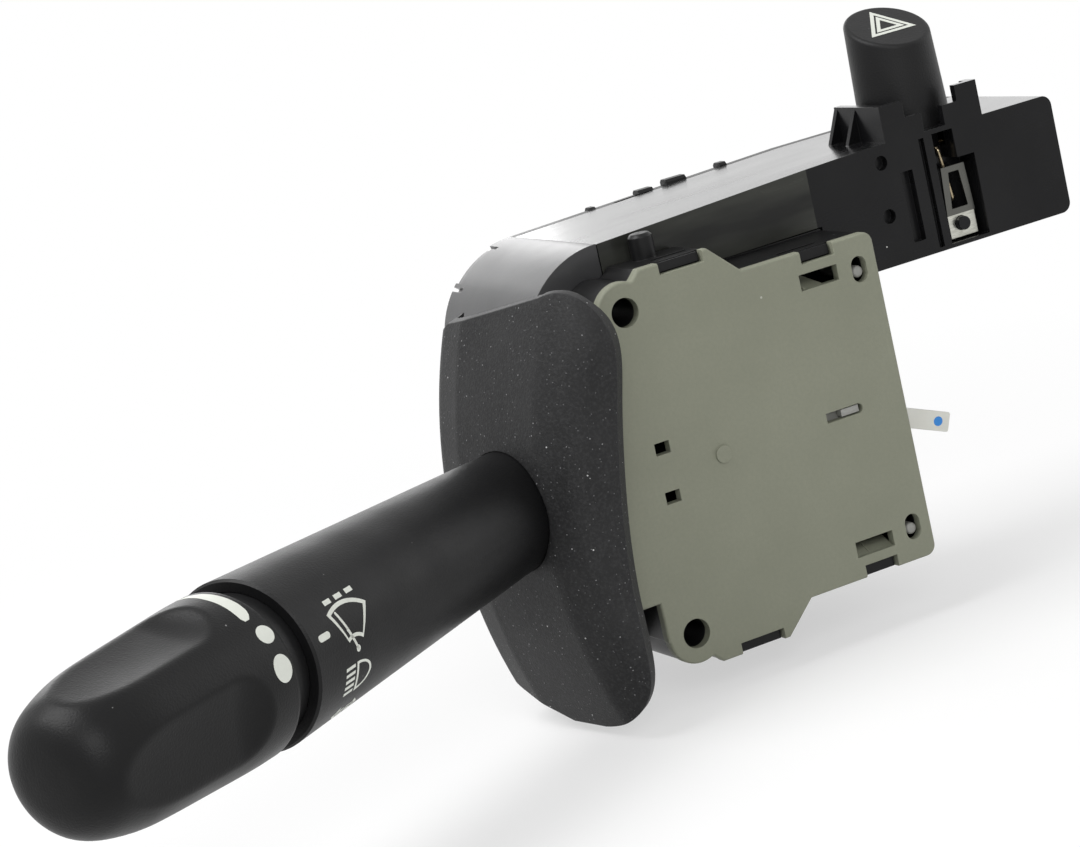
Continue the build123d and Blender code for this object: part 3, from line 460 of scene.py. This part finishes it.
# Knob: profile from the tip to the hub, as reach along the lever and radius
KNOB_SKIN = (
    (173.8, 0.0), (173.7, 2.6), (173.3, 5.6), (172.2, 8.1), (170.4, 9.9), (168.0, 11.2),
    (164.0, 12.34), (160.0, 13.0), (155.0, 13.35), (146.0, 13.72), (136.0, 14.1), (130.6, 14.1))
KNOB_BEYOND = (125.0, 14.1)
KNOB_INSIDE = (
    (130.2, 13.75), (130.2, 12.6), (136.2, 12.6), (138.6, 9.6), (158.8, 9.0), (164.1, 6.0),
    (133.8, 6.0), (133.8, 3.08), (150.3, 3.08), (150.3, 0.0))
KNOB_STEPS = 168
# Flutes: their angles round the knob, then where they start along the lever, the length of their
# run-out, the radius, taper and curve of their floor, and the width of their soft edge, in mm
FLUTE_CENTRES = (12.0, 102.0, 192.0, 282.0)
FLUTE_START = 132.2
FLUTE_RUNOUT = 12.0
FLUTE_FLOOR = 11.75
FLUTE_FLOOR_AT = 140.0
FLUTE_TAPER = 0.035
FLUTE_CURVE = 45.0
FLUTE_EDGE = 0.5
# Points that the flutes may move: those beyond this radius and between these reaches
SKIN_INNER = 9.7
SKIN_REACH = (131.0, 172.0)
# Radius well outside the knob, for the angles between the flutes
NO_FLUTE = 40.0


def knob_profile():
    """Smooth chain of points down the skin, then the plain inside.

    A mirrored point before the tip and a point beyond the hub set the slopes at the ends.
    """
    mirrored = (KNOB_SKIN[1][0], -KNOB_SKIN[1][1])
    knots = [Vector((*point, 0)) for point in (mirrored, *KNOB_SKIN, KNOB_BEYOND)]
    chain = []
    for before, start, end, after in zip(knots, knots[1:], knots[2:], knots[3:]):
        first = start + (end - before) / 6
        second = end - (after - start) / 6
        steps = max(int((end - start).length / 0.45), 5)
        chain += list(geometry.interpolate_bezier(start, first, second, end, steps))[:-1]
    chain.append(knots[-2])
    return chain + [Vector((*point, 0)) for point in KNOB_INSIDE]


def flute_radius(reach, angle, skin):
    """Radius of the knob where a shallow hollow may be scooped out of its skin."""
    start = min(max(FLUTE_RUNOUT - (reach - FLUTE_START), 0.0), FLUTE_RUNOUT)
    floor = FLUTE_FLOOR - FLUTE_TAPER * (reach - FLUTE_FLOOR_AT) + FLUTE_RUNOUT
    floor -= math.sqrt(FLUTE_RUNOUT * FLUTE_RUNOUT - start * start)
    radius = NO_FLUTE
    for centre in FLUTE_CENTRES:
        turn = math.radians((angle - centre + 180.0) % 360.0 - 180.0)
        if abs(turn) < 1.0:
            radius = floor
            for _ in range(6):
                bow = (radius * math.sin(turn)) ** 2 / (2.0 * FLUTE_CURVE)
                radius = (floor + bow) / math.cos(turn)
    blend = max(FLUTE_EDGE - abs(skin - radius), 0.0)
    return min(skin, radius) - blend * blend / 2.0


def fluted_knob():
    """Knob turned from its profile, then scooped into four long flutes with soft edges."""
    bpy.ops.object.select_all(action="DESELECT")
    bpy.ops.mesh.primitive_plane_add(size=0.001)
    piece = bpy.context.object
    piece.name = "end_knob_piece"
    chain = knob_profile()
    mesh = bpy.data.meshes.new("end_knob_piece")
    points = [PIVOT + (LEVER_OUT * point.x + LEVER_BACK * point.y) * MM for point in chain]
    mesh.from_pydata(points, [(index, index + 1) for index in range(len(points) - 1)], [])
    piece.data = mesh
    bpy.ops.object.mode_set(mode="EDIT")
    bpy.ops.mesh.select_all(action="SELECT")
    bpy.ops.mesh.spin(steps=KNOB_STEPS, angle=math.tau, center=PIVOT, axis=LEVER_OUT)
    bpy.ops.mesh.select_all(action="SELECT")
    bpy.ops.mesh.remove_doubles(threshold=WELD)
    bpy.ops.mesh.normals_make_consistent(inside=False)
    bpy.ops.object.mode_set(mode="OBJECT")
    for vertex in piece.data.vertices:
        offset = vertex.co - PIVOT
        reach = offset.dot(LEVER_OUT) / MM
        side = offset - LEVER_OUT * (reach * MM)
        skin = side.length / MM
        if skin > SKIN_INNER and SKIN_REACH[0] < reach < SKIN_REACH[1]:
            angle = math.degrees(math.atan2(side.dot(UP), side.dot(LEVER_BACK)))
            share = flute_radius(reach, angle, skin) / skin
            vertex.co = PIVOT + LEVER_OUT * (reach * MM) + side * share
    select_only(piece)
    bpy.ops.object.transform_apply(location=True, rotation=True, scale=True)
    piece.data.materials.append(look_of("end_knob"))
    bpy.ops.object.shade_smooth_by_angle(angle=SHARP_KNOB)
    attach(piece, "knob")
    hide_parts("end_knob")
    return piece


# Width of the rounded edges of each piece, in mm
SOFT_EDGES = {
    "cover_plate": 0.12, "end_cover": 0.1, "arm_housing": 0.1, "rear_housing": 0.3,
    "rear_cover": 0.25, "connector_socket": 0.2, "lever_shield": 0.2, "cancel_pawl": 0.12,
    "hazard_contact_spring": 0.08,
}
# The same, for pieces whose rims are too thin for joined faces
SOFT_THIN_RIMS = {"front_housing": 0.12, "arm_back_cover": 0.1}
pieces = {node: softened(node, width, True) for node, width in SOFT_EDGES.items()}
for node, width in SOFT_THIN_RIMS.items():
    pieces[node] = softened(node, width, False)

# Ledges behind the windows of the plate: their spans along X and Y, their thickness, the height
# of their rib and the width of their rounded edges, in mm
LEDGE_X = (35.2, 43.2)
LEDGE_Y = (0.9, 5.4)
LEDGE_THICK = 0.8
LEDGE_RIB = 0.35
LEDGE_EDGE = 0.08
# Share of the lean at the front, and the part of a face's normal that tells the top
LEDGE_FRONT_LEAN = 0.6
LEDGE_TOP = 0.3


def window_ledge(name, low, high, rib, lean):
    """Sloping ledge moulded behind a window of the plate, with a low rib across it.

    low and high are its front and back heights, rib the span of the rib along X, and lean
    how far its right end is cut short at the back, and by a share of that at the front.
    """
    bpy.ops.object.select_all(action="DESELECT")
    bpy.ops.mesh.primitive_cube_add(size=1.0)
    piece = bpy.context.object
    piece.name = name
    for vertex in piece.data.vertices:
        at_back = vertex.co.y > 0
        height = (high if at_back else low) - (0.0 if vertex.co.z > 0 else LEDGE_THICK)
        right = LEDGE_X[1] - (lean if at_back else lean * LEDGE_FRONT_LEAN)
        across = right if vertex.co.x > 0 else LEDGE_X[0]
        vertex.co = Vector((across, LEDGE_Y[at_back], height)) * MM
    bpy.ops.object.mode_set(mode="EDIT")
    bpy.ops.mesh.select_mode(type="FACE")
    for x in rib:
        bpy.ops.mesh.select_all(action="SELECT")
        bpy.ops.mesh.bisect(plane_co=(x * MM, 0, 0), plane_no=(1, 0, 0))
    bpy.ops.mesh.select_all(action="DESELECT")
    bpy.ops.object.mode_set(mode="OBJECT")
    for face in piece.data.polygons:
        face.select = face.normal.z > LEDGE_TOP and rib[0] < face.center.x / MM < rib[1]
    bpy.ops.object.mode_set(mode="EDIT")
    bpy.ops.mesh.extrude_region_move(TRANSFORM_OT_translate={"value": (0, 0, LEDGE_RIB * MM)})
    bpy.ops.mesh.select_all(action="SELECT")
    bpy.ops.mesh.normals_make_consistent(inside=False)
    bpy.ops.object.mode_set(mode="OBJECT")
    apply_modifier(piece, "BEVEL", width=LEDGE_EDGE * MM, segments=2, limit_method="ANGLE",
                   angle_limit=BEVEL_ANGLE)
    bpy.ops.object.shade_smooth_by_angle(angle=SHARP_MOULDED)
    piece.data.materials.append(look_of("cover_plate"))
    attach(piece, HOME["cover_plate"])


# Coil springs: their joint, the way to their seat and the travel of their free end, in mm
SPRINGS = {
    "hazard_spring": ("hazard_push", -UP, 3.6),
    "detent_spring": ("detent_slide", Vector((-1, 0, 0)), 1.25),
    "washer_spring": ("washer_push", -LEVER_OUT, 3.1),
    "flash_spring": ("flash_hinge", Vector((0, 1, 0)), 1.5),
    "pawl_spring": ("pawl_retract", Vector((-1, 0, 0)), 3.1),
}
# Latch wire: the height above which its top leg lies, and how far the leg is lowered, in mm
LATCH_LEG = 37.8
LATCH_DROP = 0.25


def coil_spring(node, joint, to_seat, travel):
    """Coil spring copied and shaded smooth; the share of its length that its travel would leave is
    worked out but not applied. The joint is not used.
    """
    piece = copied(node)
    bpy.ops.object.shade_smooth_by_angle(angle=SHARP_WIRE)
    reach = [vertex.co.dot(to_seat) for vertex in piece.data.vertices]
    keep = 1.0 - travel * MM / (max(reach) - min(reach))
    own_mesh(piece)


def latch_wire():
    """Latch wire with its top leg a little below the skirt of the pressed button."""
    piece = copied("hazard_latch_wire")
    for vertex in piece.data.vertices:
        if vertex.co.z > LATCH_LEG * MM:
            vertex.co.z -= LATCH_DROP * MM
    bpy.ops.object.shade_smooth_by_angle(angle=SHARP_WIRE)


latch_wire()
for node, settings in SPRINGS.items():
    coil_spring(node, *settings)
window_ledge("window_ledge_low", -26.75, -24.3, (38.1, 38.4), 0.0)
window_ledge("window_ledge_high", 23.75, 25.6, (36.0, 36.4), 4.6)
pieces["end_knob"] = fluted_knob()


# Printed marks

# Distance within which doubled corners of a print are merged, in metres, and the cuts that let
# it bend
PRINT_WELD = 0.000001
PRINT_CUTS = 4
# Distance in front of its surface from which a print is laid on, then its lift and thickness, in mm
PRINT_STAND = 3.0
PRINT_LIFT = 0.02
PRINT_THICK = 0.03
# Chart of the marks on the stalk: its reach, the angle at its zero height, the millimetres that
# a degree round the stalk covers, and the height of the arrows
MARK_REACH = 118.4
MARK_ZERO = 185.3
ARC_MM = 0.2426
ARROWS_HEIGHT = -11.8
# Middle of the button's sloped top and its slope, then the place in front of the pawl's dot
BUTTON_TOP = (79.6, 27.2, 62.5)
BUTTON_SLOPE = 24.0
PAWL_DOT = (61.5, 4.0, -9.0)


def arc(centre, radius, start, end, count=16):
    """Points on an arc, in millimetres and degrees."""
    angles = [math.radians(start + (end - start) * index / count) for index in range(count + 1)]
    return [(centre[0] + radius[0] * math.cos(angle), centre[1] + radius[1] * math.sin(angle))
            for angle in angles]


def sector(centre, inner, outer, start, end):
    """Outline of part of a ring."""
    return arc(centre, (outer, outer), start, end) + arc(centre, (inner, inner), end, start)


def stroke(first, last, width):
    """Straight stroke with round ends."""
    angle = math.degrees(math.atan2(last[1] - first[1], last[0] - first[0]))
    half = (width / 2, width / 2)
    return arc(last, half, angle - 90, angle + 90, 8) + arc(first, half, angle + 90, angle + 270, 8)


def bar(x0, x1, y, width):
    """Straight dash with square ends."""
    return [(x0, y - width / 2), (x1, y - width / 2), (x1, y + width / 2), (x0, y + width / 2)]


def printed(name, shapes, place, target, body, ink=INK):
    """Print closed outlines on a surface: a filled curve laid in a plane, then wrapped on."""
    parts = []
    for outlines in shapes:
        curve = bpy.data.curves.new(name, "CURVE")
        curve.dimensions = "2D"
        curve.fill_mode = "BOTH"
        for outline in outlines:
            spline = curve.splines.new("POLY")
            spline.points.add(len(outline) - 1)
            for point, (x, y) in zip(spline.points, outline):
                point.co = (x * MM, y * MM, 0.0, 1.0)
            spline.use_cyclic_u = True
        part = bpy.data.objects.new(name, curve)
        bpy.context.scene.collection.objects.link(part)
        parts.append(part)
    select_only(parts[0])
    for part in parts:
        part.select_set(True)
    bpy.ops.object.convert(target="MESH")
    if len(parts) > 1:
        bpy.ops.object.join()
    piece = bpy.context.view_layer.objects.active
    bpy.ops.object.mode_set(mode="EDIT")
    bpy.ops.mesh.select_all(action="SELECT")
    bpy.ops.mesh.remove_doubles(threshold=PRINT_WELD)
    bpy.ops.mesh.quads_convert_to_tris()
    bpy.ops.mesh.subdivide(number_cuts=PRINT_CUTS)
    bpy.ops.object.mode_set(mode="OBJECT")
    piece.matrix_world = place
    bpy.context.view_layer.update()
    apply_modifier(piece, "SHRINKWRAP", target=target, wrap_method="PROJECT", use_project_z=True,
                   use_positive_direction=False, use_negative_direction=True,
                   offset=PRINT_LIFT * MM)
    select_only(piece)
    bpy.ops.object.transform_apply(location=True, rotation=True, scale=True)
    apply_modifier(piece, "SOLIDIFY", thickness=PRINT_THICK * MM, offset=0.0)
    piece.name = name
    piece.data.materials.clear()
    piece.data.materials.append(ink.data)
    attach(piece, body)


def round_place(angle, reach, radius):
    """Plane in front of the lever's surface at an angle round its axis and a reach along it."""
    turn = math.radians(angle)
    out = LEVER_BACK * math.cos(turn) + UP * math.sin(turn)
    rise = LEVER_BACK * math.sin(turn) - UP * math.cos(turn)
    origin = PIVOT + LEVER_OUT * reach * MM + out * (radius + PRINT_STAND) * MM
    basis = Matrix((-LEVER_OUT, rise, out)).transposed().to_4x4()
    return Matrix.Translation(origin) @ basis


def moved(outlines, up):
    """Outlines lowered by a height, so that they sit round the middle of their plane."""
    return [[(x, y - up) for x, y in outline] for outline in outlines]


def stalk_print(name, shapes, height):
    """Print on the stalk at a height round it, measured on the chart of the marks."""
    angle = MARK_ZERO - height / ARC_MM
    radius = STALK_END[1] + STALK_END[2] * (MARK_REACH - STALK_END[0])
    place = round_place(angle, MARK_REACH, radius)
    shapes = [moved(outlines, height) for outlines in shapes]
    printed(name, shapes, place, frame["nodes"]["lever_stalk"], "lever")


def wiper_marks():
    """Windscreen wiper with three dashes above it, and the index dash for the knob."""
    hub = (3.7, -1.9)
    dashes = [bar(0.4, 2.3, 8.7, 0.8), bar(3.5, 5.4, 8.7, 0.8), bar(6.6, 8.5, 8.7, 0.8)]
    glass = [sector(hub, 3.72, 9.85, 52.2, 115.8), sector(hub, 4.3, 9.15, 56.2, 111.8)]
    blade = [stroke((1.55, 6.6), (3.2, 2.1), 0.5)]
    arm = [stroke((2.6, 3.4), (4.1, 0.0), 0.5)]
    tip = [arc((4.15, -0.1), (0.55, 0.55), 0, 345)]
    index = [stroke((-4.45, 4.37), (-2.5, 4.37), 1.15)]
    stalk_print("wiper_marks", [dashes, glass, blade, arm, tip, index], 4.0)


def lamp_marks():
    """High-beam lamp: a half round with five rays."""
    middle = -4.8
    shell = arc((3.45, middle), (4.3, 2.6), -90, 90)
    inside = arc((3.95, middle), (3.3, 2.1), -90, 90)
    rays = [bar(0.3, 2.9, -2.55 - 1.1 * index, 0.55) for index in range(5)]
    stalk_print("lamp_marks", [[shell, inside], rays], middle)


def arrow(tip, tail, half):
    """Outline of a short arrow along the stalk."""
    neck = tip + (tail - tip) * 0.5
    shaft = half * 0.45
    points = [(tip, 0.0), (neck, half), (neck, shaft), (tail, shaft),
              (tail, -shaft), (neck, -shaft), (neck, -half)]
    return [(x, y + ARROWS_HEIGHT) for x, y in points]


def arrow_marks():
    """Pair of turn arrows under the lamp."""
    first = [arrow(0.2, 3.4, 1.6), arrow(0.9, 3.0, 0.85)]
    second = [arrow(7.4, 4.2, 1.6), arrow(6.7, 4.6, 0.85)]
    stalk_print("arrow_marks", [first, second], ARROWS_HEIGHT)


def knob_marks():
    """Swelling band and two dots round the base of the knob, for the wiper speeds."""
    # Angle round the knob, then the reach of the band's near and far side there
    edge = ((72, 132.3, 132.5), (80, 131.9, 133.0), (90, 131.6, 133.4), (101, 131.5, 133.8),
            (112, 131.5, 134.0), (120, 131.6, 134.2), (127, 131.9, 134.4), (131, 132.4, 134.5),
            (134, 133.2, 134.2))
    middle = 104.0
    base = 133.0
    near, far = (
        [(base - point[side], KNOB_R * math.sin(math.radians(middle - point[0]))) for point in edge]
        for side in (1, 2))
    target = pieces["end_knob"]
    printed("knob_band", [[near + far[::-1]]], round_place(middle, base, KNOB_R), target, "knob")
    for name, angle, reach, size in (("knob_dot_small", 147.3, 132.9, (1.75, 1.6)),
                                     ("knob_dot_large", 171.0, 133.2, (2.0, 2.25))):
        dot = arc((0.0, 0.0), size, 0, 348, 29)
        printed(name, [[dot]], round_place(angle, reach, KNOB_R), target, "knob")


def hazard_triangle():
    """Double warning triangle on the sloped top of the button."""
    corners = ((0.45, 6.1), (-5.15, -3.2), (4.85, -3.15))
    middle = (0.05, -0.1)
    rings = []
    for scale in (1.0, 0.745, 0.62, 0.375):
        rings.append([(middle[0] + (x - middle[0]) * scale, middle[1] + (y - middle[1]) * scale)
                      for x, y in corners])
    slope = math.radians(BUTTON_SLOPE)
    out = Vector((0, -math.sin(slope), math.cos(slope)))
    rise = Vector((0, math.cos(slope), math.sin(slope)))
    basis = Matrix((Vector((1, 0, 0)), rise, out)).transposed().to_4x4()
    place = Matrix.Translation(Vector(BUTTON_TOP) * MM + out * PRINT_STAND * MM) @ basis
    printed("hazard_triangle", [rings], place, frame["nodes"]["hazard_button"], "hazard")


def pawl_dot():
    """Blue paint dot near the tip of the pawl."""
    basis = Matrix((Vector((1, 0, 0)), UP, Vector((0, -1, 0)))).transposed().to_4x4()
    place = Matrix.Translation(Vector(PAWL_DOT) * MM) @ basis
    dot = arc((0.0, 0.0), (0.95, 0.9), 0, 348, 23)
    printed("pawl_dot", [[dot]], place, pieces["cancel_pawl"], "pawl", BLUE)


wiper_marks()
lamp_marks()
arrow_marks()
knob_marks()
hazard_triangle()
pawl_dot()


# Light, floor and backdrop

WORLD_LIGHT = 0.32
CENTRE = (0.0, 0.0, 0.0)
FLOOR_HEIGHT = -0.0425


def add_area(name, place, target, size, power):
    """Softbox aimed at a point."""
    data = bpy.data.lights.new(name, "AREA")
    data.shape = "RECTANGLE"
    data.size = size[0]
    data.size_y = size[1]
    data.energy = power
    light = bpy.data.objects.new(name, data)
    bpy.context.scene.collection.objects.link(light)
    light.location = place
    light.rotation_euler = (Vector(target) - Vector(place)).to_track_quat("-Z", "Y").to_euler()


def add_world():
    """Pure white behind the object, soft grey light on it."""
    world = bpy.data.worlds.new("studio")
    world.use_nodes = True
    studio = Nodes(world.node_tree)
    shade = studio.tree.nodes["Background"]
    shade.inputs["Color"].default_value = (1, 1, 1, 1)
    shade.inputs["Strength"].default_value = WORLD_LIGHT
    bright = studio.node("ShaderNodeBackground", {}, {"Color": (1, 1, 1, 1), "Strength": 1.0})
    studio.blend(studio.seen_rays(), shade, bright, "World Output")
    bpy.context.scene.world = world


def floor_finish():
    """White table that keeps a soft shadow and meets a white backdrop."""
    made = Finish("floor_white")
    made.wire("Base Color", made.mix(made.noise(2.0), (0.9, 0.9, 0.9), (0.92, 0.92, 0.92)))
    made.shader.inputs["Roughness"].default_value = 0.8
    made.shine(0.1)
    away = made.node("ShaderNodeVectorMath", {"operation": "LENGTH"}, {0: made.place}, "Value")
    glow = made.node("ShaderNodeEmission", {}, {"Color": (1, 1, 1, 1), "Strength": 1.0})
    share = made.spread(away, 0.06, 0.30, 0.55, 1.0) * made.seen_rays()
    made.blend(share, made.shader, glow, "Material Output")
    return made


add_world()
add_area("key", (-0.45, 0.05, 0.75), CENTRE, (0.6, 0.6), 7.0)
add_area("front", (-0.25, -0.9, 0.55), CENTRE, (0.5, 0.5), 3.4)
add_area("back", (0.15, 1.0, 0.27), (0.02, 0.06, 0.045), (0.55, 0.4), 1.3)
add_area("right", (0.8, -0.1, 0.3), CENTRE, (0.4, 0.6), 0.8)
bpy.context.scene.view_settings.view_transform = "Standard"

bpy.ops.object.select_all(action="DESELECT")
bpy.ops.mesh.primitive_plane_add(size=4.0, location=(0, 0, FLOOR_HEIGHT))
floor = bpy.context.object
floor.name = "floor"
floor.data.materials.append(floor_finish().data)
